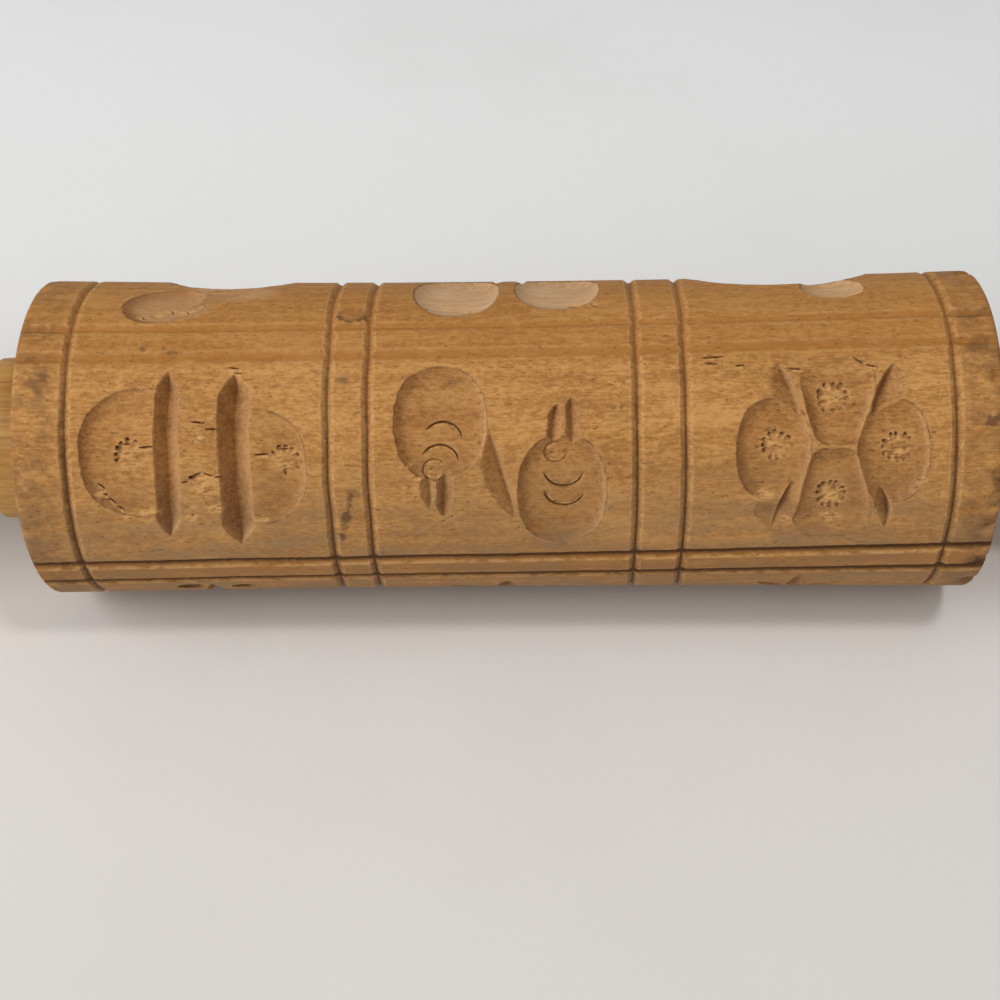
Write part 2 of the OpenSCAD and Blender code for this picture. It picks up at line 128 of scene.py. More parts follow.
fruit = dict(
    dishes=[(-11.4, 6.2, 8.2, 10.6, 0), (10, -6.9, 7.9, 10.8, 0)],
    leaves=[(-3.1, 5.6, 1.7, -12, 4.2, -1.1, 0.75, 0.42)],
    stems=[(-13.8, -2.6, -13.5, -9.8, 2.2, 0, 0.6), (-10.5, -2, -11, -11.6, 3.2, 0.2, 0.4),
           (9.3, 9.6, 8.6, 1.4, 2.8, -0.2, 0.35), (11.6, 10.6, 11.7, 0.6, 2.7, 0.3, 0.4)],
    stops=[(-11, 3.1, 3.4, -2, 154), (-11.5, -1.2, 3.4, 0, 160),
           (10.3, -2.6, 3.5, 186, 352), (10.4, -6.6, 3.6, 182, 346)],
    seeds=[(-12.5, -2.4, 1.9, 20, 330), (8.8, 0.8, 1.9, 60, 380)],
    scratches=[(1.5, -11.6, 4.6, -20.2), (-6.2, -9.3, -13.6, -14.2)],
    tornAndLit=[(-15.6, -3.6, 1.5), (-12.5, -2.4, 1.6), (8.8, 0.8, 1.3), (-17.4, -1.4, 1.4)],
)
flower = dict(
    dishes=[(-7, 0.6, 6.6, 9.6, 0), (13.7, 0.2, 6.2, 9.5, 0), (4.2, 9.4, 5.8, 7.8, 0, 0, 0.33),
            (3.5, -7.8, 6.1, 8.6, 0, 0, -0.3)],
    leaves=[(-6.2, 16.9, -2.1, 5, 4.4, -1, 0.78, 0.36), (14, 16.4, 9.7, 5.2, 4.8, 1, 0.2, 0.4),
            (-2, -3, -7.1, -14.4, 3.8, 0.6, 0.2, 0.5), (9, -3.6, 13.3, -14.6, 2.8, 0.8, 0.8, 0.6)],
    chips=[[(-10.4, -8.6), (-10, -11.8), (-7.4, -14.2), (-4.2, -13.4), (-3.8, -9)]],
    stamps=[(-6.4, 1.6, 1), (3.5, 10.3, 1), (14.5, 1.1, 1), (3.2, -7.9, 1)],
    splits=[(-19.6, 17.9, -15, 18.3), (-19, 16.9, -16.5, 16.8), (-13.8, 16.3, -11.5, 16.5),
            (-5, 15.6, -1.4, 15.3), (6.8, 17.8, 9.1, 16.2), (9, 16.2, 11.6, 15.6)],
    tornAndLit=[(-8.6, -7.6, 2.6), (-4.4, -12.8, 1.8), (3.2, -12.4, 2.6), (15, -0.4, 2.4), (3.4, -8.4, 2.2),
          (-6, 1, 2), (3.6, 9.8, 2), (18.6, -5, 1.4)],
)
tulip = dict(
    dishes=[(-0.5, -2, 8.5, 8, 0)],
    bars=[(-1.6, 14.2, -1.6, 1, 3.4)],
    tornAndLit=[(-2.6, 12.6, 1.6), (6.6, 12.4, 1.6)],
    holes=[(-5.1, 12.3, 3.2, 1.8, 0), (4.6, 12.1, 2.8, 1.6, 0)],
    leaves=[(-3, -9, -13, 1, 3.4), (2, -9, 12, 1, 3.4)],
    stems=[(-0.5, -8, -0.5, -17, 1.6)],
    stamps=[(-0.5, -2, 1)],
)
starWays = [(math.cos(k * math.pi / 4), math.sin(k * math.pi / 4)) for k in range(8)]
star = dict(
    dishes=[(0, 0, 3, 3, 0)],
    leaves=[(3.6 * c, 3.6 * s, 14.5 * c, 14.5 * s, 3.8) for c, s in starWays],
    stamps=[(0, 0, 1)],
)
ear = dict(
    leaves=[(0, 6, 0, 17, 3.4)] + [(side * 1.2, 5 * k - 9, side * 7.5, 5 * k - 2, 3.2)
                                   for k in range(4) for side in (-1, 1)],
    stems=[(0, -16, 0, 4, 1.6)],
)
heart = dict(
    dishes=[(-5.5, 4, 6.5, 7.5, 20), (5.5, 4, 6.5, 7.5, -20), (0, -4, 6, 9, 0)],
    leaves=[(-14, 14, -7, 15.5, 2.6), (14, 14, 7, 15.5, 2.6), (-16, -12, -7, -9, 3), (16, -12, 7, -9, 3)],
    stamps=[(0, 2, 1)],
)
sprig = dict(
    dishes=[(-9, 8, 4.2, 4.6, 0), (9, 6, 4.2, 4.6, 0), (0, 13, 4.2, 4.6, 0)],
    leaves=[(-1, -4, -14, -2, 3.8), (1, -8, 14, -5, 3.8), (-1, -12, -11, -13, 3.2)],
    stems=[(0, -17, 0, 8, 1.6), (-0.5, -1, -7, 5, 1.4), (0.5, -3, 7, 3, 1.4)],
)
petalWays = [(math.cos(k * math.pi / 3), math.sin(k * math.pi / 3)) for k in range(6)]
rosette = dict(
    dishes=[(0, 0, 3.4, 3.4, 0)] + [(9.5 * c, 9.5 * s, 4.4, 5.2, 0) for c, s in petalWays],
    stamps=[(9.5 * c, 9.5 * s, 1) for c, s in petalWays],
)
notched = dict(
    dishes=[(-7.4, -13.6, 8, 5.6, 20)],
    hollows=[(1.9, 3, 12.2, 9.5, 0)],
    leaves=[(-9, -15, 7.4, -7.6, 5)],
    scraped=[(-7, -13.4, 9, 6.4, 0.34), (3.4, -8.6, 10, 5, 0.34)],
    tornAndLit=[(-11.2, -16.6, 1.6), (-9, -15.6, 1.5), (-6.6, -14.1, 1.7), (-3.8, -14.5, 1.7),
          (-0.9, -12.6, 1.5), (2.1, -11, 1.4)],
    splits=[(-11.8, -15.8, -11, -17.4), (-6.9, -13.4, -6.1, -14.8), (-4, -13.9, -3.2, -15.2),
            (-1.1, -12, -0.4, -13.2)],
)
cherry = dict(
    moons=[(-8.8, -8, 8, 10, 0), (9.7, -7, 7.9, 9.2, 0)],
    leaves=[(0.6, 12, -2.4, -4, 2.6), (2, 12, 3.6, -4, 2.6)],
    splits=[(-8.6, -16.4, -4.4, -15.2), (-4.6, -15.8, -2.8, -14.6), (11, -14.2, 15, -12.6),
            (14.6, -13.4, 17, -15.6)],
    tornAndLit=[(-6, -15.4, 2.4), (12.6, -13.4, 2.6), (15.6, -14.6, 1.6)],
)
gourd = dict(
    hollows=[(-3, 3, 17, 10.5, 0)],
    moons=[(6, -9.4, 5.8, 4.6, 0)],
    tornAndLit=[(4, -12, 2), (7, -13, 2.4), (10, -11.6, 1.8)],
)
rowMotifs = [(barred, fruit, flower), (tulip, star, ear), (heart, sprig, rosette), (notched, cherry, gourd)]

# stains and knocks on the plain wood (distance along, up from the front row, reaches, strength)
stains = [
    (-82.5, 16, 3.4, 4, 0.9), (-82, 10.5, 3.2, 3.4, 0.75), (-84.4, 22.4, 1.8, 1.6, 0.6),
    (-81, 6, 2, 2, 0.5), (-83, -10, 2.6, 3, 0.45), (-84, -15.6, 2, 2, 0.5), (82.8, 18.4, 2.6, 2, 0.8),
    (84.2, 15, 2.2, 1.4, 0.8), (83, 25, 3, 1.8, 0.7), (84.8, 4.8, 2, 1.3, 1.8),
    (85.4, -5.6, 1.4, 2.4, 1.6), (81.4, -14, 2.2, 1.4, 0.6), (83.4, -17, 1.8, 1.2, 0.7),
    (80.8, 10, 1.6, 1.4, 0.5), (82.4, -1, 1.8, 1.6, 0.4), (-27.3, 29, 2.6, 1.8, 0.4),
    (-28.6, 15, 1.4, 0.9, 0.7), (-59, 20.6, 1.6, 0.5, 0.8), (-64, 21.4, 0.7, 0.6, 0.9),
    (-26.5, -4.5, 1.3, 1, 0.5), (46, 4.5, 0.8, 0.6, 0.8), (51.5, -10, 3, 1.6, 0.3),
    (-9, 14.8, 1.6, 0.7, 0.5), (20.6, 7.4, 2.4, 0.5, 0.4), (31, 14, 1, 3, 0.3),
]
# the outline of an old drip
stains += [(-27.3 + 2.3 * math.cos(k * math.pi / 6), 29 + 1.7 * math.sin(k * math.pi / 6), 0.8, 0.6, 1.3)
           for k in range(12)]
# a long knock that has turned dark
stains += [(-27.5 - 0.26 * k, -5.5 - 1.07 * k, 0.75, 1.2, 1.8) for k in range(8)]


noiseSpan = 251  # units after which the random field repeats


# smooth random field with one value per unit; y closes on itself after wrap units
def softNoise(x, y, seed, wrap=noiseSpan):
    table = np.random.default_rng(seed).uniform(-1, 1, (noiseSpan, wrap))
    i, j = np.floor(x).astype(int), np.floor(y).astype(int)
    p, q = x - i, y - j
    p, q = p * p * (3 - 2 * p), q * q * (3 - 2 * q)
    i0, i1, j0, j1 = i % noiseSpan, (i + 1) % noiseSpan, j % wrap, (j + 1) % wrap
    near = table[i0, j0] * (1 - p) + table[i1, j0] * p
    far = table[i0, j1] * (1 - p) + table[i1, j1] * p
    return near * (1 - q) + far * q


def clipped(field):
    return np.clip(field, 0, 1)


# degrees from a mark on to a turn, between -180 and 180
def turnPast(turn, mark):
    return (turn - mark + 180) % 360 - 180


# lines across a span that starts and ends on the given marks, each stretch a whole number of leaves
def gridLines(marks):
    lines = [marks[0]]
    for low, high, step in zip(marks[:-1], marks[1:], np.diff(marks)):
        count = roller["leaf"] * max(1, round(step / (roller["cell"] * roller["leaf"])))
        lines += [low + (high - low) * k / count for k in range(1, count + 1)]
    return np.array(lines)


# a hollow whose wall starts steep at the outline and eases into a flat floor
def dishDepth(u, v, cut, deep, wall):
    midU, midV, halfU, halfV, turn, tilt, spread = (tuple(cut) + (0, 0))[:7]
    c, s = math.cos(math.radians(turn)), math.sin(math.radians(turn))
    du, dv = u - midU, v - midV
    square = carving["dishSquare"] + abs(spread) * np.where(spread * dv < 0, *carving["fanSquare"])
    wide = halfU * (1 + spread * np.clip(dv / halfV, -1.4, 1.4))
    reach = np.abs((du * c + dv * s) / wide) ** square + np.abs((dv * c - du * s) / halfV) ** square
    small = min(halfU, halfV)
    inside = (1 - reach ** (1 / square)) * small
    rise = clipped(inside / min(wall, 0.7 * small))
    deep = deep * np.clip(1 - (abs(tilt) + tilt * du / halfU) / 2, 0.12, 1)
    deep = deep * np.clip(1 - carving["fanRise"] * spread * dv / halfV, 0.15, 1)
    return np.where(inside > 0, deep * (1 - (1 - rise) ** 3), inside)


# wood broken out between straight edges
def chipDepth(u, v, corners):
    inside = np.full(u.shape, 9.0)
    for (startU, startV), (endU, endV) in zip(corners, corners[1:] + corners[:1]):
        wayU, wayV = endU - startU, endV - startV
        off = (wayU * (v - startV) - wayV * (u - startU)) / math.hypot(wayU, wayV)
        inside = np.minimum(inside, off)
    return carving["chipDeep"] * np.minimum(inside / carving["chipWall"], 1)


# a V cut along a bowed line, pointed at both tips, with its bottom somewhere between left 0 and right 1
def cutDepth(u, v, cut, share, tip=99, soft=0, scoop=1):
    tipU, tipV, endU, endV, width, bow, valley = (tuple(cut) + (0, 0.5))[:7]
    length = math.hypot(endU - tipU, endV - tipV)
    wayU, wayV = (endU - tipU) / length, (endV - tipV) / length
    along = (u - tipU) * wayU + (v - tipV) * wayV
    side = (v - tipV) * wayU - (u - tipU) * wayV - bow * 4 * along * (length - along) / length ** 2
    near = np.clip(np.minimum(along, length - along) / min(tip, length / 2), -1, 1)
    half = width / 2 * (1 - (1 - near) ** (2 / scoop))
    left, right = (half + side) / valley, (half - side) / (1 - valley)
    right = np.where(right > 0, width * (1 - clipped(1 - right / width) ** scoop), right)
    return share * (left + right - np.sqrt((left - right) ** 2 + soft ** 2)) / 2


# an arc pressed in with a curved gouge: a sheer line, wood that leans away inside it, and a pale lip that
# is a painted highlight
def stopDepth(u, v, cut):
    midU, midV, radius, start, end = cut
    du, dv = u - midU, v - midV
    outside = np.hypot(du, dv) - radius
    angle = (np.degrees(np.arctan2(dv, du)) - start) % 360
    taper = clipped(np.minimum(angle, end - start - angle) / 25)
    line = clipped(1.5 - 1.5 * np.abs(outside) / (carving["stopWidth"] / 2))
    lean = clipped(1 + outside / carving["stopLean"]) * (outside < 0)
    lit = clipped(1.5 - np.abs(outside + 0.4) / 0.2)
    return taper * carving["stopDeep"] * line, taper * carving["leanDeep"] * lean, taper * lit


# a punched flower: a ring of scooped notches, sheer outside and rising to the middle, which it also gives
def stampDepth(u, v, stamp, dice):
    midU, midV, kept = stamp
    du, dv = u - midU, v - midV
    reach, angle = np.hypot(du, dv), np.arctan2(dv, du)
    dent = np.zeros_like(u)
    for k in range(carving["stampCount"]):
        way = 2 * math.pi * (k + dice.uniform(-0.2, 0.2)) / carving["stampCount"]
        outer = carving["stampReach"] + dice.uniform(-0.35, 0.2)
        wide = carving["stampNotch"] * dice.uniform(0.7, 1.15)
        strong = dice.uniform(0.45, 1) * (0.7 + 0.3 * math.sin(way - 0.6))
        if dice.uniform(0, 1) > kept:
            continue
        off = np.abs((angle - way + math.pi) % (2 * math.pi) - math.pi) * reach / wide
        edge = outer - 0.25 * off ** 2
        rise = clipped(1 - (edge - reach) / carving["stampRun"]) * (reach < edge)
        dent = np.maximum(dent, strong * rise * clipped(2.5 - 2.5 * off))
    return carving["stampDeep"] * dent, clipped(2.4 - reach / 1.4)


# rounds the lip of a cut a little
def softLip(raw):
    soft = carving["edgeSoft"]
    return np.maximum(0, (raw + np.sqrt(raw * raw + soft * soft)) / 2 - soft / 8)


# mean over a square of cells, twice; the grid closes on itself along its second side
def blurred(field, reach):
    width = 2 * reach + 1
    for _ in range(2):
        tall = np.pad(field, ((reach + 1, reach), (0, 0)), mode="edge").cumsum(0)
        field = (tall[width:] - tall[:-width]) / width
        wide = np.pad(field, ((0, 0), (reach + 1, reach)), mode="wrap").cumsum(1)
        field = (wide[:, width:] - wide[:, :-width]) / width
    return field


# hollows of a panel: depth, below 0 outside them, the painted shade and painted highlight of holes, and the
# tone of pale gouged and scraped wood
def hollowOut(u, v, motif, seed):
    raw = np.full(u.shape, -1.0)
    crack, tornAndLit, ashen = (np.zeros(u.shape) for _ in range(3))
    for kind, deep, wall in (("dishes", "dishDeep", "dishWall"), ("hollows", "hollowDeep", "hollowWall")):
        for item in motif.get(kind, ()):
            raw = np.maximum(raw, dishDepth(u, v, item, carving[deep], carving[wall]))
    for item in motif.get("moons", ()):
        hollow = dishDepth(u, v, item, carving["dishDeep"], carving["moonWall"])
        du, dv = u - item[0], v - item[1] - carving["moonSwing"]
        swing = np.hypot(du, dv) / carving["moonStep"]
        ridges = np.cos(2 * math.pi * swing + 2 * softNoise(u / 4 + 60, v / 4 + 60, seed + 9))
        raw = np.maximum(raw, hollow + carving["moonRidge"] * ridges * clipped(2 * hollow))
        streaks = softNoise(2.6 * swing + 40, np.arctan2(du, -dv) * 3 + 40, seed + 11)
        ashen = np.maximum(ashen, clipped(4 * hollow) * (0.78 + 0.12 * ridges + 0.3 * streaks))
    # holes are painted dark at the left, a painted shade, and pale at the right, a painted highlight
    for item in motif.get("holes", ()):
        pit = dishDepth(u, v, item, carving["holeDeep"], carving["holeWall"])
        raw = np.maximum(raw, pit)
        across = 1.6 * (u - item[0]) / item[2]
        crack = np.maximum(crack, 0.45 * clipped(2 * pit) * clipped(0.5 - across))
        tornAndLit = np.maximum(tornAndLit, clipped(pit) * clipped(0.5 + across))
    for item in motif.get("chips", ()):
        raw = np.maximum(raw, chipDepth(u, v, item))
    for item in motif.get("scraped", ()):
        patch = 1 - np.hypot((u - item[0]) / item[2], (v - item[1]) / item[3])
        ashen = np.maximum(ashen, item[4] * clipped(3 * patch))
    return raw, crack, tornAndLit, ashen


# knife cuts of a panel: depth, below 0 outside them
def knifeOut(u, v, motif):
    raw = np.full(u.shape, -1.0)
    for item in motif.get("leaves", ()):
        share = item[7] if len(item) > 7 else carving["leafDeep"]
        raw = np.maximum(raw, cutDepth(u, v, item, share, soft=carving["leafSoft"]))
    for item in motif.get("stems", ()):
        stem = cutDepth(u, v, item, carving["stemDeep"], carving["stemTip"], carving["stemSoft"])
        raw = np.maximum(raw, stem)
    for item in motif.get("bars", ()):
        shape = [carving[name] for name in ("barDeep", "barTip", "barSoft", "barScoop")]
        raw = np.maximum(raw, cutDepth(u, v, item, *shape))
    return raw


# small marks of a panel: depth of sheer lines, of wood that leans and of notches, and the tone of torn wood
# and of the painted highlight along stops
def smallMarks(u, v, motif, dice):
    crack, lean, dent, tornAndLit = (np.zeros(u.shape) for _ in range(4))
    for kind, strong in (("stops", 1), ("seeds", 0.5)):
        for item in motif.get(kind, ()):
            line, slope, lit = stopDepth(u, v, item)
            crack, lean = np.maximum(crack, strong * line), np.maximum(lean, strong * slope)
            # the pale lip of a stop goes into the torn tone as a painted highlight
            tornAndLit = np.maximum(tornAndLit, 0.8 * lit)
    for item in motif.get("stamps", ()):
        notch, middle = stampDepth(u, v, item, dice)
        dent, tornAndLit = np.maximum(dent, notch), np.maximum(tornAndLit, 0.8 * middle)
    for item in motif.get("splits", ()):
        line = cutDepth(u, v, item + (carving["splitWidth"],), carving["splitDeep"])
        lip = cutDepth(u, v + 0.4, item + (1.6 * carving["splitWidth"],), carving["splitDeep"])
        crack, tornAndLit = np.maximum(crack, line), np.maximum(tornAndLit, clipped(2 * lip))
    for item in motif.get("scratches", ()):
        line = cutDepth(u, v, item + (carving["scratchWidth"],), carving["scratchDeep"])
        lean, tornAndLit = np.maximum(lean, line), np.maximum(tornAndLit, np.clip(12 * line, 0, 0.8))
    for item in motif.get("tornAndLit", ()):
        patch = 1 - np.hypot((u - item[0]) / item[2], (v - item[1]) / (0.55 * item[2]))
        tornAndLit = np.maximum(tornAndLit, clipped(2 * patch))
    return crack, lean, dent, tornAndLit


# one panel: depth below the skin, and the tones of floors, of painted shade in cracks, holes and notches,
# of torn wood with painted highlights, of scraped wood, and of outlines painted dark as painted shade
def carvePanel(u, v, motif, seed, dice):
    fine, wide = carving["raggedScale"], carving["wanderScale"]
    rough = carving["ragged"] * softNoise(u / fine[0] + 99, v / fine[1] + 99, seed + 7)
    u = u + carving["wander"] * softNoise(u / wide + 50, v / wide + 50, seed)
    v = v + carving["wander"] * softNoise(u / wide + 50, v / wide + 50, seed + 3)
    raw, darkPits, litPits, ashen = hollowOut(u, v, motif, seed)
    knife = knifeOut(u, v, motif)
    bare = clipped(np.where(knife > raw, knife / 0.4, raw / 0.9))
    raw = np.maximum(raw, knife)
    raw = raw + rough * np.exp(-(raw / 0.25) ** 2)
    # outlines are painted dark where the wall falls away, a painted shade, and less so on knife cuts
    outline = clipped(1.3 - np.abs(raw - 0.06) / 0.15) * np.where(knife > 0, 0.4, 1)
    outline = outline * clipped(2 * np.hypot(*np.gradient(raw, roller["cell"])) - 0.4)
    crack, lean, dent, tornAndLit = smallMarks(u, v, motif, dice)
    crack, tornAndLit = np.maximum(crack, darkPits), np.maximum(tornAndLit, litPits)
    shreds = clipped(softNoise(u / 0.8 + 30, v / 0.35 + 30, seed + 5))
    depth = softLip(raw) + np.maximum(np.maximum(crack, dent), lean) + carving["shredDeep"] * tornAndLit * shreds
    # cracks, stop lines, holes and stamp notches are painted dark: painted shade in their depths, partly
    # dirt
    dark = np.maximum(crack / 0.45, 0.95 * (dent / carving["stampDeep"]) ** 1.4)
    return depth, bare, clipped(dark), tornAndLit, ashen, outline


# depth of the carving and its tones on every crossing of the skin grid, whose lines slip sideways
def carveSkin(xs, turns, slip):
    fields = [np.zeros(slip.shape) for _ in range(6)]
    dice = np.random.default_rng(11)
    for row, motifs in enumerate(rowMotifs):
        for column, motif in enumerate(motifs):
            along = xs - (column - 1) * roller["pitch"]
            up = turnPast(rowTurns[row], turns) / skinTurn
            inU, inV = np.abs(along) < roller["panel"][0], np.abs(up) < roller["panel"][1]
            cells = np.ix_(inU, inV)
            u, v = np.meshgrid(along[inU], up[inV], indexing="ij")
            parts = carvePanel(u, v - slip[cells], motif, 40 + 10 * row + column, dice)
            for field, part in zip(fields, parts):
                field[cells] = part
    return fields


# V grooves round the roller and along it, with their dark lines of painted shade and dirt, the tone of the
# bands, and pale walls that are a painted highlight
def grooveSkin(xs, turns):
    x, turn = xs[:, None], turns[None, :]
    groove, line, rail, lit = (np.zeros((len(xs), len(turns))) for _ in range(4))
    # rings with chipped edges, a dark bottom and a darker left wall, painted shade and dirt, painted
    # fainter above the front row
    low = np.clip(1 + turnPast(turn, viewTurn) / 60, 0.35, 1)
    for k, place in enumerate(roller["rings"]):
        jag = softNoise(0 * x + 7 * k, turn / 360 * 400, 51, 400)
        jag = jag + 0.7 * softNoise(0 * x + 7 * k + 3, turn / 360 * 150, 52, 150)
        off = (x - place) / (roller["ringWidth"] / 2)
        near = clipped(1 - np.abs(off) / (1 + 0.25 * jag * (off > 0)))
        groove = np.maximum(groove, roller["ringDeep"] * near)
        shade = np.where(off < 0, roller["ringShade"][k] * (1 + 0.35 * jag), 0.15 - 0.15 * jag)
        shade = np.maximum(shade * clipped(3 * near), clipped(1.6 - np.abs(off) / 0.2))
        line = np.maximum(line, low * clipped(shade))
    upperWorn = np.where(np.abs(x) > roller["railEnd"], roller["railEndWorn"], roller["railWorn"])
    for k, band in enumerate(bandTurns):
        # the pair above the front row gets no painted shade, and is worn almost flat but for its two ends
        upper = k == 0
        worn = upperWorn if upper else 1
        for side in (-1, 1):
            off = turnPast(turn, band + side * railTurn) / skinTurn / (roller["railWidth"] / 2)
            jag = softNoise(x / 0.8 + 31 * k, 0 * turn + 3 * side, 53)
            jag = jag + 0.7 * softNoise(x / 4 + 31 * k, 0 * turn + 3 * side, 54)
            near = clipped(1 + 0.08 * jag - np.abs(off))
            groove = np.maximum(groove, worn * roller["railDeep"] * near)
            rail = np.maximum(rail, clipped(4 * near))
            if upper:
                continue
            # on the other pairs one wall and the bottom are painted dark, a painted shade, and the other
            # wall pale, a painted highlight
            inward = off if k > 1 else -off
            shadeEnd = 0.5 if side < 0 else 0.8
            line = np.maximum(line, clipped((1.15 + inward) / 0.2) * clipped((shadeEnd - inward) / 0.2))
            lit = np.maximum(lit, 0.6 * clipped(4 * near) * clipped((inward - 0.6) / 0.2))
        off = np.abs(turnPast(turn, band)) / skinTurn
        rail = np.maximum(rail, 0.5 * clipped(1 - (off - roller["railGap"] / 2) / 2.5))
    return groove, line, rail, lit


# stains on the plain wood, with ragged edges, and the dirt of hands on the two ends
def stainSkin(xs, turns):
    x, up = xs[:, None], turnPast(frontTurn, turns[None, :]) / skinTurn
    ragged = softNoise(x / 0.9 + 90, up / 0.7 + 120, 61) + 0.7 * softNoise(x / 2.2 + 90, up / 1.8 + 120, 62)
    stain = 0.5 * clipped((np.abs(x) - roller["handledFrom"]) / 2) * clipped(0.7 + 0.8 * ragged)
    for place, height, wide, tall, strong in stains:
        patch = 1 - np.hypot((x - place) / wide, (up - height) / tall) + 0.45 * ragged
        stain = np.maximum(stain, strong * clipped(1.5 * patch))
    return clipped(stain)


# squares of the grid, as large as the fields stay straight across them
def chooseLeaves(fields):
    rows, columns = fields[0][0].shape[0] - 1, fields[0][0].shape[1]
    closed = [(np.hstack([field, field[:, :1]]), limit) for field, limit in fields]
    taken = np.zeros((rows, columns), bool)
    leaves = []
    size = roller["leaf"]
    while size > 1:
        bad = np.zeros((rows // size, columns // size), bool)
        for field, limit in closed:
            a, b = field[:-1:size, :-1:size], field[size::size, :-1:size]
            c, d = field[:-1:size, size::size], field[size::size, size::size]
            for i in range(size + 1):
                for j in range(size + 1):
                    p, q = i / size, j / size
                    flat = (a * (1 - p) + b * p) * (1 - q) + (c * (1 - p) + d * p) * q
                    here = field[i:i + rows - size + 1:size, j:j + columns - size + 1:size]
                    bad |= np.abs(here - flat) > limit
        good = np.argwhere(~bad & ~taken[::size, ::size])
        leaves += [(i * size, j * size, size) for i, j in good.tolist()]
        taken |= np.kron(~bad, np.ones((size, size), bool))
        size //= 2
    leaves += [(i, j, 1) for i, j in np.argwhere(~taken).tolist()]
    return leaves


def newObject(name, points, faces, material):
    mesh = bpy.data.meshes.new(name)
    mesh.from_pydata(points, [], faces)
    mesh.materials.append(material)
    mesh.shade_smooth()
    piece = bpy.data.objects.new(name, mesh)
    scene.collection.objects.link(piece)
    return piece


# a tone that the materials read at every point
def addTone(piece, name, values):
    tone = piece.data.attributes.new(name, "FLOAT", "POINT")
    tone.data.foreach_set("value", np.array(values, np.float32))


# the flat chart of a piece, corner by corner
def addChart(piece, corners):
    layer = piece.data.uv_layers.new(name="OFBake")
    layer.data.foreach_set("uv", np.array(corners, np.float32).ravel())


# point on the roller at a distance along it, a turn from straight up towards the front, and a radius
def onRoller(x, turn, radius):
    angle = np.radians(turn)
    return np.stack(np.broadcast_arrays(x, -radius * np.sin(angle), radius * np.cos(angle)), -1)


# the lines of the skin grid, along the roller in millimetres and round it in degrees
def layGrid():
    lip = roller["lip"]
    ringEdge, railEdge = roller["ringWidth"] / 2, roller["railWidth"] / 2 * skinTurn
    marks = [-skinHalf, skinHalf]
    for place in roller["rings"]:
        marks += [place + side * off for side in (-1, 1) for off in (ringEdge, ringEdge + lip)] + [place]
    xs = gridLines(sorted(marks))
    marks = []
    for turn in [band + side * railTurn for band in bandTurns for side in (-1, 1)]:
        offs = (railEdge, railEdge + lip * skinTurn)
        marks += [turn + side * off for side in (-1, 1) for off in offs] + [turn]
    marks = sorted(marks)
    lines = gridLines([mark / skinTurn for mark in marks + [marks[0] + 360]])
    return xs, lines[:-1] * skinTurn


# 1 in the middle of the roller and 0 at its ends
def bellyAt(x):
    return 1 - (x / roller["half"]) ** 2


# 0 at the ends of the skin, so that the rims stay round
def calmAt(x):
    return clipped((skinHalf - np.abs(x)) / 8)


# how far rails and motifs slip round, in millimetres: they lie askew, sag and wander
def slipSkin(x, turn):
    slip = 0
    for name, run in (("railSlip", 1), ("railTwist", x), ("railSag", bellyAt(x))):
        slip = slip + run * np.interp(turn, *zip(*sorted(zip(bandTurns, roller[name]))), period=360)
    return slip + roller["railWander"] * calmAt(x) * softNoise(x / 16 + 3, turn / 360 * 8, 22, 8)


# depth of the skin: carving and grooves, uneven wear, and knocks round the two rims, worse at the right
def wearSkin(x, turn, carved, groove):
    uneven = softNoise(x / 7 + 20, turn / 360 * 30, 31, 30)
    uneven = uneven + 0.6 * softNoise(x / 3 + 70, turn / 360 * 80, 32, 80)
    depth = np.maximum(carved, groove) + carving["worn"] * (0.8 + 0.5 * uneven)
    reach = np.where(x > 0, *roller["knockReach"])
    atEnd = clipped((np.abs(x) - skinHalf + reach) / reach) ** 2
    endSide = np.where(x > 0, 60, 0)
    knocks = clipped(softNoise(endSide + 0 * turn, turn / 360 * 90, 5, 90) - 0.25)
    return np.maximum(depth, np.where(x > 0, *roller["knockDeep"]) * knocks * atEnd)


# where the skin lies: the wood has shrunk at the waist and bent, and the rings wander
def bendSkin(x, turned, depth, drift):
    belly = bellyAt(x)
    spot = onRoller(x + drift, turned, roller["radius"] - depth - roller["waist"] * belly)
    lean = math.radians(viewTurn + 90)
    spot[..., 1] -= roller["bow"] * belly * math.sin(lean)
    spot[..., 2] += roller["bow"] * belly * math.cos(lean)
    return spot


toneNames = ("grimeAndShade", "wear", "cut", "steep", "rail", "tornAndLit", "ashen", "dull", "stain")
fineTones = ("grimeAndShade", "wear", "tornAndLit", "stain")  # tones that the mesh is divided for


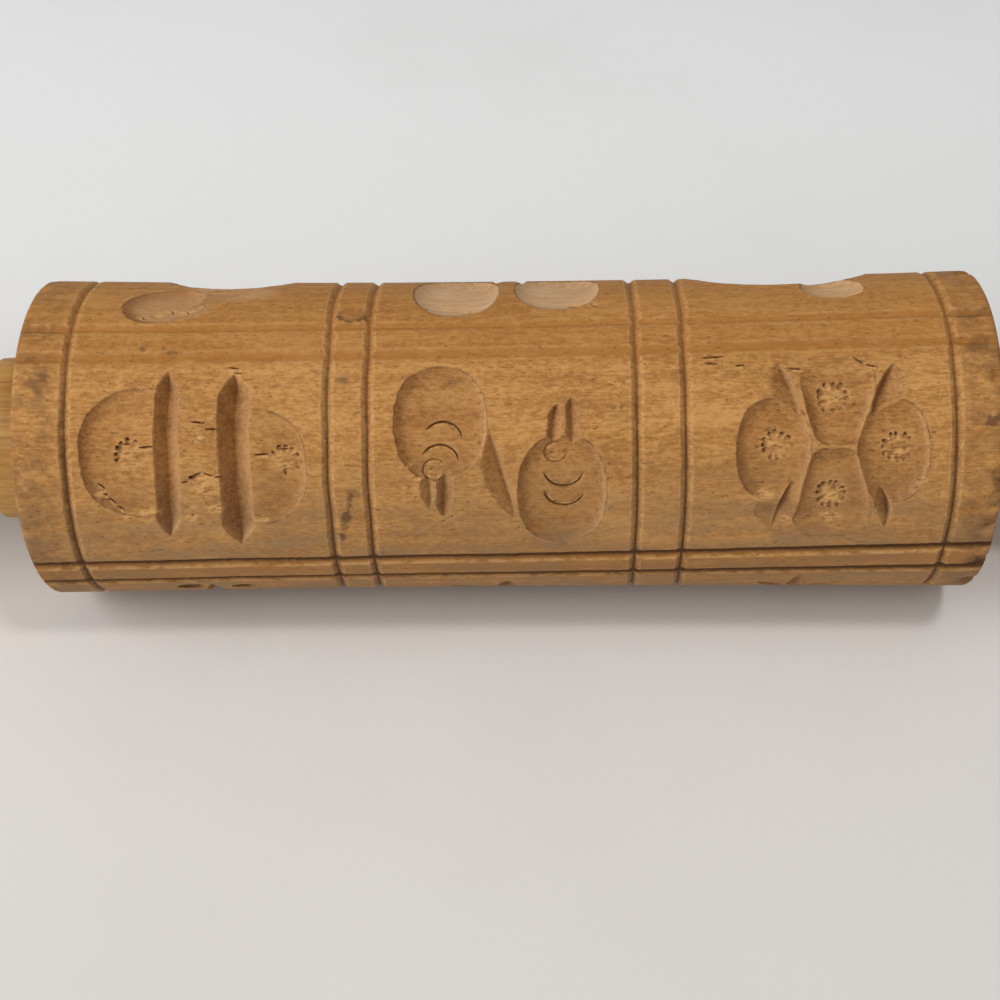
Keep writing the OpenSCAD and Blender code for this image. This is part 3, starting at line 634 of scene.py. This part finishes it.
def toneSkin(xs, turns, carvedFields, grooveFields):
    carved, cut, dark, tornAndLit, ashen, outline = carvedFields
    groove, line, rail, lit = grooveFields
    x, turn = xs[:, None], turns[None, :]
    # dark in lines, hollows, cracks and frayed outlines, painted shade and partly dirt, and edges rubbed
    # pale
    hollow = carved - blurred(carved, 3)
    grimeAndShade = clipped(np.maximum(np.maximum(dark, line), hollow / 0.6))
    frayed = 0.55 + 0.35 * softNoise(x / 1.3 + 11, turn / 360 * 190, 41, 190)
    grimeAndShade = clipped(np.maximum(grimeAndShade, outline * frayed))
    touched = groove + 0.25 * carved
    wear = clipped((blurred(touched, 3) - touched) / 0.1)
    # walls are painted darker, most where they face right, away from the light: painted shade, partly a
    # darker tone of cut wood; cut faces that look to the left, towards the light, are painted paler: a
    # painted highlight
    rightward, onward = np.gradient(carved, roller["cell"])
    steep = clipped(np.hypot(rightward, onward) - 0.15) * np.clip(0.7 + 0.6 * rightward, 0.1, 1)
    ashen = np.maximum(ashen, 0.3 * clipped(-rightward - 0.3))
    # below the middle of the picture the wood is painted duller and darker, painted shade on the side
    # turned down and partly a greyer tone of the wood; at the top it is painted deeper with the band tone,
    # a painted shade
    past = turnPast(turn, viewTurn)
    dull = np.broadcast_to(clipped((past - 4) / 40) * clipped((150 - past) / 60), carved.shape)
    rail = np.maximum(rail, 0.5 * clipped((-past - 30) / 6) * clipped((past + 130) / 20))
    # the pale walls of the rails join the torn tone as a painted highlight
    fields = (grimeAndShade, wear, cut, steep, rail, np.maximum(tornAndLit, lit), ashen, dull, stainSkin(xs, turns))
    return dict(zip(toneNames, fields))


# the crossings of the grid that are corners of a leaf; the two ends use the same ones
def usedCrossings(leaves, shape):
    used = np.zeros(shape, bool)
    row, column, size = np.array(leaves).T
    for i in (0, 1):
        for j in (0, 1):
            used[row + i * size, (column + j * size) % shape[1]] = True
    used[0] |= used[-1]
    used[-1] |= used[0]
    return used


# faces of the skin, and for each corner its distance along the roller and its share of the way round
def skinFaces(leaves, used, number, xs):
    columns = used.shape[1]
    faces, places = [], []
    for i, j, s in leaves:
        border = [(i, j + k) for k in range(s)] + [(i + k, j + s) for k in range(s)]
        border += [(i + s, j + s - k) for k in range(s)] + [(i + s - k, j) for k in range(s)]
        border = [(a, b) for a, b in border if used[a, b % columns]]
        faces.append([number[a, b % columns] for a, b in border])
        places += [(xs[a], b / columns) for a, b in border]
    return faces, places


# faces between two rings of points, from one distance to another on the chart
def bandFaces(first, second, share, start, end):
    faces, places = [], []
    for k in range(len(share)):
        m = (k + 1) % len(share)
        upper = share[m] if m else 1.0
        faces.append([first[k], first[m], second[m], second[k]])
        places += [(start, share[k]), (start, upper), (end, upper), (end, share[k])]
    return faces, places


# the rim, the end face and the stepped bore as (distance from the middle, radius), from the skin inwards
def endTrail():
    radius, half, soft = roller["radius"], roller["half"], roller["rimRound"]
    shelf, seat = half - roller["flangeDeep"], half - roller["bushDeep"]
    flange, bush, core = roller["flange"] / 2, roller["bush"] / 2, roller["core"] / 2
    trail = [(skinHalf + soft * math.sin(a), radius - soft * (1 - math.cos(a)))
             for a in (0.4, 0.8, 1.2, math.pi / 2)]
    trail += [(half, size) for size in roller["faceRings"]]
    return trail + [(half, flange), (shelf, flange), (shelf, bush), (seat, bush), (seat, core)]


def makeRoller(material):
    xs, turns = layGrid()
    x, turn = xs[:, None], turns[None, :]
    slip = slipSkin(x, turn)
    carvedFields = carveSkin(xs, turns, slip)
    grooveFields = grooveSkin(xs, turns)
    depth = wearSkin(x, turn, carvedFields[0], grooveFields[0])
    tones = toneSkin(xs, turns, carvedFields, grooveFields)
    fineFields = [(tones[name], roller["toneStep"]) for name in fineTones]
    leaves = chooseLeaves([(depth, roller["straight"])] + fineFields)
    print("roller skin:", len(leaves), "leaves")

    used = usedCrossings(leaves, depth.shape)
    number = np.cumsum(used).reshape(used.shape) - 1
    drift = roller["ringWander"] * calmAt(x) * softNoise(x / 30 + 9, turn / 360 * 24, 21, 24)
    turned = turn + slip * skinTurn
    points = bendSkin(x, turned, depth, drift)[used].tolist()
    values = [list(tones[name][used]) for name in toneNames]
    faces, places = skinFaces(leaves, used, number, xs)

    # both ends, ring by ring from the skin inwards
    ends = used[0]
    share = np.nonzero(ends)[0] / len(turns)
    lastRings = []
    for side, edge in ((-1, 0), (1, len(xs) - 1)):
        most = roller["radius"] - depth[edge][ends]
        before = number[edge][ends]
        run = skinHalf
        last = (skinHalf, roller["radius"])
        for reach, size in endTrail():
            start = run
            run += math.hypot(reach - last[0], size - last[1])
            last = (reach, size)
            ring = np.arange(len(points), len(points) + len(share))
            points += onRoller(side * reach, turned[edge][ends], np.minimum(size, most)).tolist()
            for name, value in zip(toneNames, values):
                value += list(tones[name][edge][ends] * (reach < roller["half"]))
            if side > 0:
                more = bandFaces(before, ring, share, start, run)
            else:
                more = bandFaces(ring, before, share, -run, -start)
            faces += more[0]
            places += more[1]
            before = ring
        lastRings.append(before)
    # the bore between the two steps gets a narrow strip past the right end of the chart
    more = bandFaces(*lastRings, share, run + roller["boreStrip"], run)
    faces += more[0]
    places += more[1]

    piece = newObject("carved_roller", (np.array(points) * mm).tolist(), faces, material)
    piece.data.set_sharp_from_angle(angle=math.radians(roller["sharp"]))
    for name, value in zip(toneNames, values):
        addTone(piece, name, value)
    length = max(abs(a) for a, b in places)
    addChart(piece, [(0.5 + 0.49 * a / length, 0.01 + 0.98 * b) for a, b in places])
    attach(piece, "roller")
    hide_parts("roller")
    return piece


# a socket is linked, anything else is set as a value
def feed(tree, socket, value):
    if isinstance(value, bpy.types.NodeSocket):
        tree.links.new(value, socket)
    else:
        socket.default_value = value


def node(tree, kind, inputs, **settings):
    made = tree.nodes.new("ShaderNode" + kind)
    for name, value in settings.items():
        setattr(made, name, value)
    for name, value in inputs.items():
        feed(tree, made.inputs[name], value)
    return made


def newMaterial(name):
    material = bpy.data.materials.new(name)
    material.use_nodes = True
    material.node_tree.nodes.clear()
    return material, material.node_tree


def mixed(tree, share, below, above, blend="MIX"):
    sockets = {"Fac": share, "Color1": below, "Color2": above}
    return node(tree, "MixRGB", sockets, blend_type=blend).outputs[0]


def maths(tree, what, first, second=0.0, third=0.0):
    made = tree.nodes.new("ShaderNodeMath")
    made.operation = what
    for socket, value in zip(made.inputs, (first, second, third)):
        feed(tree, socket, value)
    return made.outputs[0]


# turns a field into 0 to 1 between two values
def between(tree, field, low, high):
    sockets = {"Value": field, "From Min": low, "From Max": high}
    return node(tree, "MapRange", sockets, interpolation_type="SMOOTHSTEP").outputs[0]


# noise whose places are scaled along the roller, below 1 to draw it out
def noiseField(tree, place, along, scale, detail=3.0, rough=0.55):
    drawn = node(tree, "Mapping", {"Vector": place, "Scale": (along, 1, 1)}).outputs[0]
    sockets = {"Vector": drawn, "Scale": scale, "Detail": detail, "Roughness": rough}
    return node(tree, "TexNoise", sockets).outputs["Fac"]


# growth rings about the pith, faint along the grain and clearer on end grain
def growthRings(tree, wood):
    coordinates = tree.nodes.new("ShaderNodeTexCoord")
    place = coordinates.outputs["Object"]
    fromPith = node(tree, "Mapping", {"Vector": place, "Location": wood["pith"]}).outputs[0]
    wave = node(tree, "TexWave", {
        "Vector": fromPith, "Scale": wood["ringScale"], "Distortion": wood["ringBend"],
        "Detail": 3.0, "Detail Scale": 0.35, "Detail Roughness": 0.5,
    }, wave_type="RINGS", rings_direction="X")
    facing = node(tree, "SeparateXYZ", {"Vector": coordinates.outputs["Normal"]}).outputs["X"]
    endGrain = between(tree, maths(tree, "ABSOLUTE", facing), 0.8, 0.95)
    share = maths(tree, "MULTIPLY_ADD", endGrain, wood["endRings"], wood["sideRings"])
    return place, maths(tree, "MULTIPLY", maths(tree, "SUBTRACT", wave.outputs["Fac"], 0.5), share)


# colour of bare wood from its rings and layers of noise, each with its share
def bareWood(tree, wood, rings, layers):
    tone = maths(tree, "ADD", rings, wood["lift"])
    for layer, share in layers:
        tone = maths(tree, "MULTIPLY_ADD", layer, share, tone)
    ramp = node(tree, "ValToRGB", {"Fac": tone})
    stops = ramp.color_ramp.elements
    darkAt, bodyAt, lightAt = wood["tones"]
    stops[0].position, stops[0].color = darkAt, wood["dark"]
    stops[1].position, stops[1].color = lightAt, wood["light"]
    stops.new(bodyAt).color = wood["body"]
    return ramp.outputs[0]


def finishMaterial(tree, colour, rough, height, bumpSize, **sockets):
    bump = node(tree, "Bump", {"Height": height, "Strength": 1.0, "Distance": bumpSize})
    shader = node(tree, "BsdfPrincipled", {
        "Base Color": colour, "Roughness": rough, "Normal": bump.outputs[0],
    })
    for name, value in sockets.items():
        shader.inputs[name.replace("_", " ")].default_value = value
    output = tree.nodes.new("ShaderNodeOutputMaterial")
    tree.links.new(shader.outputs[0], output.inputs["Surface"])


# colours are linear; floor and wall are multiplied in, tones places dark, body and light; the wall, dull,
# band and dark groove colours also paint shade, and the torn and ashen colours paint highlights in places
rollerWood = dict(
    light=(0.55, 0.282, 0.088, 1), body=(0.45, 0.209, 0.056, 1), dark=(0.335, 0.144, 0.034, 1),
    floor=(0.85, 0.815, 0.80, 1), wall=(0.70, 0.63, 0.62, 1), rail=(0.35, 0.138, 0.024, 1),
    grimeAndShade=(0.085, 0.034, 0.011, 1), worn=(0.62, 0.36, 0.15, 1), tornAndLit=(0.66, 0.36, 0.125, 1),
    ashen=(0.72, 0.475, 0.26, 1), dull=(0.30, 0.178, 0.083, 1), stain=(0.15, 0.068, 0.024, 1),
    pore=(0.20, 0.088, 0.027, 1), lift=0.025, tones=(0.67, 0.78, 0.89), bump=0.00014,
    pith=(0.0, 0.052, -0.034), ringScale=105.0, ringBend=2.2, sideRings=0.05, endRings=0.07,
)


def makeRollerWood():
    material, tree = newMaterial("carvedWood")
    place, rings = growthRings(tree, rollerWood)
    fibre = noiseField(tree, place, 0.1, 2600.0, 4.0, 0.7)
    mottle = noiseField(tree, place, 0.55, 1300.0, 4.0, 0.75)
    streak = noiseField(tree, place, 0.1, 420.0, 4.0, 0.6)
    blotch = noiseField(tree, place, 0.55, 90.0, 4.0, 0.6)
    layers = ((fibre, 0.4), (mottle, 0.7), (streak, 0.12), (blotch, 0.3))
    colour = bareWood(tree, rollerWood, rings, layers)
    pores = between(tree, noiseField(tree, place, 0.4, 1500.0, 2.0), 0.68, 0.74)

    # tones that follow the carving
    tones = {name: node(tree, "Attribute", {}, attribute_name=name).outputs["Fac"] for name in toneNames}
    patchy = noiseField(tree, place, 0.35, 260.0, 4.0, 0.6)
    uneven = between(tree, noiseField(tree, place, 0.4, 900.0, 3.0, 0.65), 0.38, 0.58)
    dull = maths(tree, "MULTIPLY", tones["dull"], between(tree, patchy, 0.2, 0.75))
    wear = maths(tree, "MULTIPLY", tones["wear"], uneven)
    tornAndLit = maths(tree, "MULTIPLY", tones["tornAndLit"], uneven)
    stain = maths(tree, "MULTIPLY", tones["stain"], between(tree, patchy, 0.25, 0.55))
    # the dull, band, wall and dark tones lay painted shade on the wood, and the torn and ashen tones
    # painted highlights in places
    for share, strength, name, blend in (
        (dull, 1.0, "dull", "MIX"), (tones["rail"], 0.72, "rail", "MIX"), (pores, 0.5, "pore", "MIX"),
        (tones["cut"], 1.0, "floor", "MULTIPLY"), (tones["ashen"], 0.8, "ashen", "MIX"),
        (tones["steep"], 1.0, "wall", "MULTIPLY"), (wear, 0.5, "worn", "MIX"), (tornAndLit, 0.75, "tornAndLit", "MIX"),
        (stain, 0.95, "stain", "MIX"), (tones["grimeAndShade"], 0.88, "grimeAndShade", "MIX"),
    ):
        colour = mixed(tree, maths(tree, "MULTIPLY", share, strength), colour, rollerWood[name], blend)

    height = maths(tree, "MULTIPLY_ADD", fibre, 0.6, maths(tree, "MULTIPLY", mottle, 0.8))
    height = maths(tree, "SUBTRACT", height, pores)
    finish = maths(tree, "MULTIPLY_ADD", blotch, 0.2, 0.54)
    finishMaterial(tree, colour, finish, height, rollerWood["bump"], Specular_IOR_Level=0.22)
    return material


# handles: turned outline from the inner face outwards, and their wood
handleStart = spanOf("right_handle", 0)[0]
handle = dict(
    length=spanOf("right_plug", 0)[1] - handleStart,  # the plug ends level with the handle
    collar=15.5, collarLen=9.0, collarRound=0.8, cove=4.2, coveDip=0.3,
    grip=14.2, gripPeak=62.0, gripBow=300.0, gripSteps=90, endRound=8.0, endEase=0.15,
    bore=4.05, stud=3.2, web=78.0, recessAt=86.0, recess=6.5, around=144, ruts=0.05, dent=0.09, sharp=40,
)
handleWood = dict(
    light=(0.52, 0.295, 0.078, 1), body=(0.43, 0.222, 0.052, 1), dark=(0.31, 0.145, 0.03, 1),
    grimeAndShade=(0.20, 0.105, 0.035, 1), lift=0.11, tones=(0.43, 0.52, 0.61), bump=0.00005,
    pith=(0.0, 0.011, 0.017), ringScale=150.0, ringBend=3.0, sideRings=0.04, endRings=0.04,
)


def gripRadius(s):
    bow = handle["gripBow"]
    return handle["grip"] - bow + math.sqrt(bow ** 2 - (s - handle["gripPeak"]) ** 2)


# outline as (distance from the inner face, radius), closed through the bore
def handleOutline():
    arc = [k * math.pi / 12 for k in range(7)]
    soft, collar, shoulder = handle["collarRound"], handle["collar"], handle["collarLen"]
    outline = [(soft * (1 - math.sin(a)), collar - soft * (1 - math.cos(a))) for a in arc[::-1]]
    outline += [(shoulder * k / 8, collar) for k in range(2, 7)]
    outline += [(shoulder - soft * (1 - math.sin(a)), collar - soft * (1 - math.cos(a))) for a in arc]
    neckAt = shoulder + handle["cove"]
    neck = gripRadius(neckAt) - handle["coveDip"]
    for k in range(10):
        a = math.pi / 2 * k / 10
        outline.append((neckAt - handle["cove"] * math.cos(a), neck + handle["cove"] * (1 - math.sin(a))))
    endAt = handle["length"] - handle["endRound"]
    for k in range(handle["gripSteps"]):
        at = neckAt + 1 + (endAt - neckAt - 1) * k / handle["gripSteps"]
        outline.append((at, gripRadius(at)))
    endMid = gripRadius(endAt) + handle["endEase"] - handle["endRound"]
    for k in range(13):
        a = math.pi / 2 * k / 12
        size = endMid + handle["endRound"] * math.cos(a)
        at = endAt + handle["endRound"] * math.sin(a)
        outline.append((at, min(size, gripRadius(at))))
    outline += [(handle["length"], handle["recess"]), (handle["recessAt"], handle["recess"])]
    outline += [(handle["recessAt"], handle["stud"]), (handle["web"], handle["stud"])]
    outline += [(handle["web"], handle["bore"]), (0, handle["bore"])]
    return outline


def makeHandle(side, name, part, material):
    outline = handleOutline()
    around = handle["around"]
    turns = np.arange(around) / around * 360
    at, size = np.array(outline).T
    skin = (size > handle["recess"] + 0.5) & (at > 0.5)  # the outside alone
    s, turn = at[:, None], turns[None, :]
    seed = 70 + side
    # faint ruts of the turning tool, and knocks from years of use
    worn = handle["ruts"] * (0.5 + 0.5 * softNoise(s / 1.1 + 40, 0 * turn, seed))
    knocks = clipped(softNoise(s / 4 + 80, turn / 360 * 20, seed + 5, 20) - 0.45)
    worn = (worn + handle["dent"] / 0.55 * knocks) * skin[:, None]
    spot = onRoller(side * (handleStart + s), turn, size[:, None] - worn)
    faces, chart = [], []
    count = len(outline)
    for i in range(count):
        n = (i + 1) % count
        for k in range(around):
            m = (k + 1) % around
            quad = [i * around + k, i * around + m, n * around + m, n * around + k]
            faces.append(quad if side > 0 else quad[::-1])
            spots = [(i, k), (i, k + 1), (i + 1, k + 1), (i + 1, k)]
            chart += [(a / count, b / around) for a, b in (spots if side > 0 else spots[::-1])]
    piece = newObject(name, (spot.reshape(-1, 3) * mm).tolist(), faces, material)
    piece.data.set_sharp_from_angle(angle=math.radians(handle["sharp"]))
    # darker in the cove behind the collar
    coveDark = clipped(1 - np.abs(at - handle["collarLen"] - 2) / 3) * skin
    addTone(piece, "grimeAndShade", np.repeat(coveDark, around))
    addChart(piece, chart)
    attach(piece, "handles")
    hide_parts(part)
    return piece


def makeHandleWood():
    material, tree = newMaterial("handleWood")
    place, rings = growthRings(tree, handleWood)
    fibre = noiseField(tree, place, 0.08, 1500.0, 5.0, 0.75)
    blotch = noiseField(tree, place, 0.6, 60.0, 3.0)
    pores = between(tree, noiseField(tree, place, 0.1, 1200.0, 2.0), 0.64, 0.72)
    colour = bareWood(tree, handleWood, rings, ((fibre, 0.42), (blotch, 0.4)))
    # the cove behind the collar is coloured darker
    grimeAndShade = node(tree, "Attribute", {}, attribute_name="grimeAndShade").outputs["Fac"]
    colour = mixed(tree, maths(tree, "MULTIPLY", grimeAndShade, 0.45), colour, handleWood["grimeAndShade"])
    colour = mixed(tree, maths(tree, "MULTIPLY", pores, 0.4), colour, handleWood["dark"])
    height = maths(tree, "SUBTRACT", maths(tree, "MULTIPLY", fibre, 0.6), pores)
    finish = maths(tree, "MULTIPLY_ADD", blotch, 0.2, 0.42)
    finishMaterial(tree, colour, finish, height, handleWood["bump"], Specular_IOR_Level=0.4)
    return material


steelFinish = dict(bright=(0.42, 0.43, 0.44, 1), dull=(0.24, 0.215, 0.19, 1), bump=0.00001)


# turned steel: fine rings about the axle, with dull patches
def makeSteel():
    material, tree = newMaterial("axleSteel")
    place = tree.nodes.new("ShaderNodeTexCoord").outputs["Object"]
    lines = noiseField(tree, place, 40.0, 220.0, 4.0)
    dull = noiseField(tree, place, 1.0, 260.0, 4.0)
    colour = mixed(tree, between(tree, dull, 0.5, 0.75), steelFinish["bright"], steelFinish["dull"])
    rough = maths(tree, "MULTIPLY_ADD", dull, 0.35, 0.18)
    finishMaterial(tree, colour, rough, lines, steelFinish["bump"], Metallic=1.0)
    return material


nylonFinish = dict(milky=(0.66, 0.61, 0.50, 1), pale=(0.80, 0.76, 0.66, 1), bump=0.00002)


# cast nylon: milky, with a faint mottle
def makeNylon():
    material, tree = newMaterial("bushNylon")
    place = tree.nodes.new("ShaderNodeTexCoord").outputs["Object"]
    mottle = noiseField(tree, place, 1.0, 420.0, 4.0)
    colour = mixed(tree, mottle, nylonFinish["milky"], nylonFinish["pale"])
    rough = maths(tree, "MULTIPLY_ADD", mottle, 0.2, 0.32)
    finishMaterial(tree, colour, rough, mottle, nylonFinish["bump"])
    return material


carvedWood = makeRollerWood()
turnedWood = makeHandleWood()
steel = makeSteel()
nylon = makeNylon()
nodeFinishes = dict(
    axle_rod=steel, left_washer=steel, right_washer=steel, left_nut=steel, right_nut=steel,
    left_nut_washer=steel, right_nut_washer=steel, left_bush=nylon, right_bush=nylon,
    left_plug=turnedWood, right_plug=turnedWood,
)
for name, finish in nodeFinishes.items():
    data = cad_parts[name].data
    data.materials.clear()
    data.materials.append(finish)
print("finishes on", len(nodeFinishes), "plain nodes")

carvedRoller = makeRoller(carvedWood)
print("roller:", len(carvedRoller.data.polygons), "faces")
handleSides = ((-1, "turned_handle_left", "left_handle"), (1, "turned_handle_right", "right_handle"))
for side, name, part in handleSides:
    made = makeHandle(side, name, part, turnedWood)
    print(name, len(made.data.polygons), "faces")


# a pale floor, painted lighter at the back and darker at the front as painted light and shade, and soft
# light: pale all round, a wide light at the left and a lamp overhead
studio = dict(
    # near and far colour the floor darker at the front and lighter at the back: painted shade and a painted
    # pool of light
    near=(0.72, 0.70, 0.685, 1), far=(0.87, 0.885, 0.885, 1), smudge=(0.95, 0.945, 0.94, 1),
    floorSize=3.0, floorBump=0.00003, sky=0.38, skyColour=(0.97, 0.985, 1.0, 1),
    lights=dict(
        wideLight=dict(power=9.2, size=0.9, at=(-0.84, -0.40, 0.62), colour=(1.0, 0.985, 0.96)),
        lamp=dict(power=2.4, size=0.14, at=(0.30, -0.25, 0.91), colour=(1.0, 0.97, 0.93)),
    ),
)


def makeFloor():
    material, tree = newMaterial("paleFloor")
    place = tree.nodes.new("ShaderNodeTexCoord").outputs["Object"]
    cloud = noiseField(tree, place, 1.0, 9.0, 4.0)
    grit = noiseField(tree, place, 1.0, 600.0, 3.0)
    away = node(tree, "SeparateXYZ", {"Vector": place}).outputs["Y"]
    # the floor is painted lighter towards the back: painted light
    colour = mixed(tree, between(tree, away, -0.12, 0.2), studio["near"], studio["far"])
    colour = mixed(tree, between(tree, cloud, 0.42, 0.75), colour, studio["smudge"], "MULTIPLY")
    rough = maths(tree, "MULTIPLY_ADD", cloud, 0.2, 0.55)
    finishMaterial(tree, colour, rough, grit, studio["floorBump"], Specular_IOR_Level=0.3)
    half = studio["floorSize"] / 2
    low = cadBox[0][2]
    points = [(-half, -half, low), (half, -half, low), (half, half, low), (-half, half, low)]
    newObject("pale_floor", points, [(0, 1, 2, 3)], material)


def makeLight():
    world = bpy.data.worlds.new("studio")
    scene.world = world
    world.use_nodes = True
    back = world.node_tree.nodes["Background"]
    back.inputs["Color"].default_value = studio["skyColour"]
    back.inputs["Strength"].default_value = studio["sky"]
    for name, light in studio["lights"].items():
        data = bpy.data.lights.new(name, "AREA")
        data.size = light["size"]
        data.energy = light["power"]
        data.color = light["colour"]
        lamp = bpy.data.objects.new(name, data)
        lamp.location = light["at"]
        lamp.rotation_euler = Vector(light["at"]).to_track_quat("Z", "Y").to_euler()
        scene.collection.objects.link(lamp)


# the photograph's camera, fitted to the roller's outline and grooves in a picture 1000 pixels wide
photo = dict(focal=1641.0, pixels=1000.0, distance=315.6, yaw=1.21, roll=0.49, right=1.55, up=12.87)


def makeCamera():
    turn = math.radians(viewTurn)
    level = Matrix(((1, 0, 0), (0, math.cos(turn), math.sin(turn)), (0, -math.sin(turn), math.cos(turn))))
    tilt = Matrix.Rotation(math.radians(photo["roll"]), 3, "Z")
    toCamera = tilt @ Matrix.Rotation(math.radians(-photo["yaw"]), 3, "Y") @ level
    middle = tilt @ Vector((photo["right"], photo["up"], -photo["distance"]))
    data = bpy.data.cameras.new("photo")
    data.sensor_width = 36.0
    data.lens = photo["focal"] / photo["pixels"] * data.sensor_width
    data.clip_start = 0.01
    camera = bpy.data.objects.new("photo", data)
    camera.matrix_world = toCamera.transposed().to_4x4()
    camera.location = toCamera.transposed() @ -middle * mm
    scene.collection.objects.link(camera)
    scene.camera = camera


makeFloor()
makeLight()
makeCamera()
scene.view_settings.view_transform = "Standard"
print("floor, light and camera set")
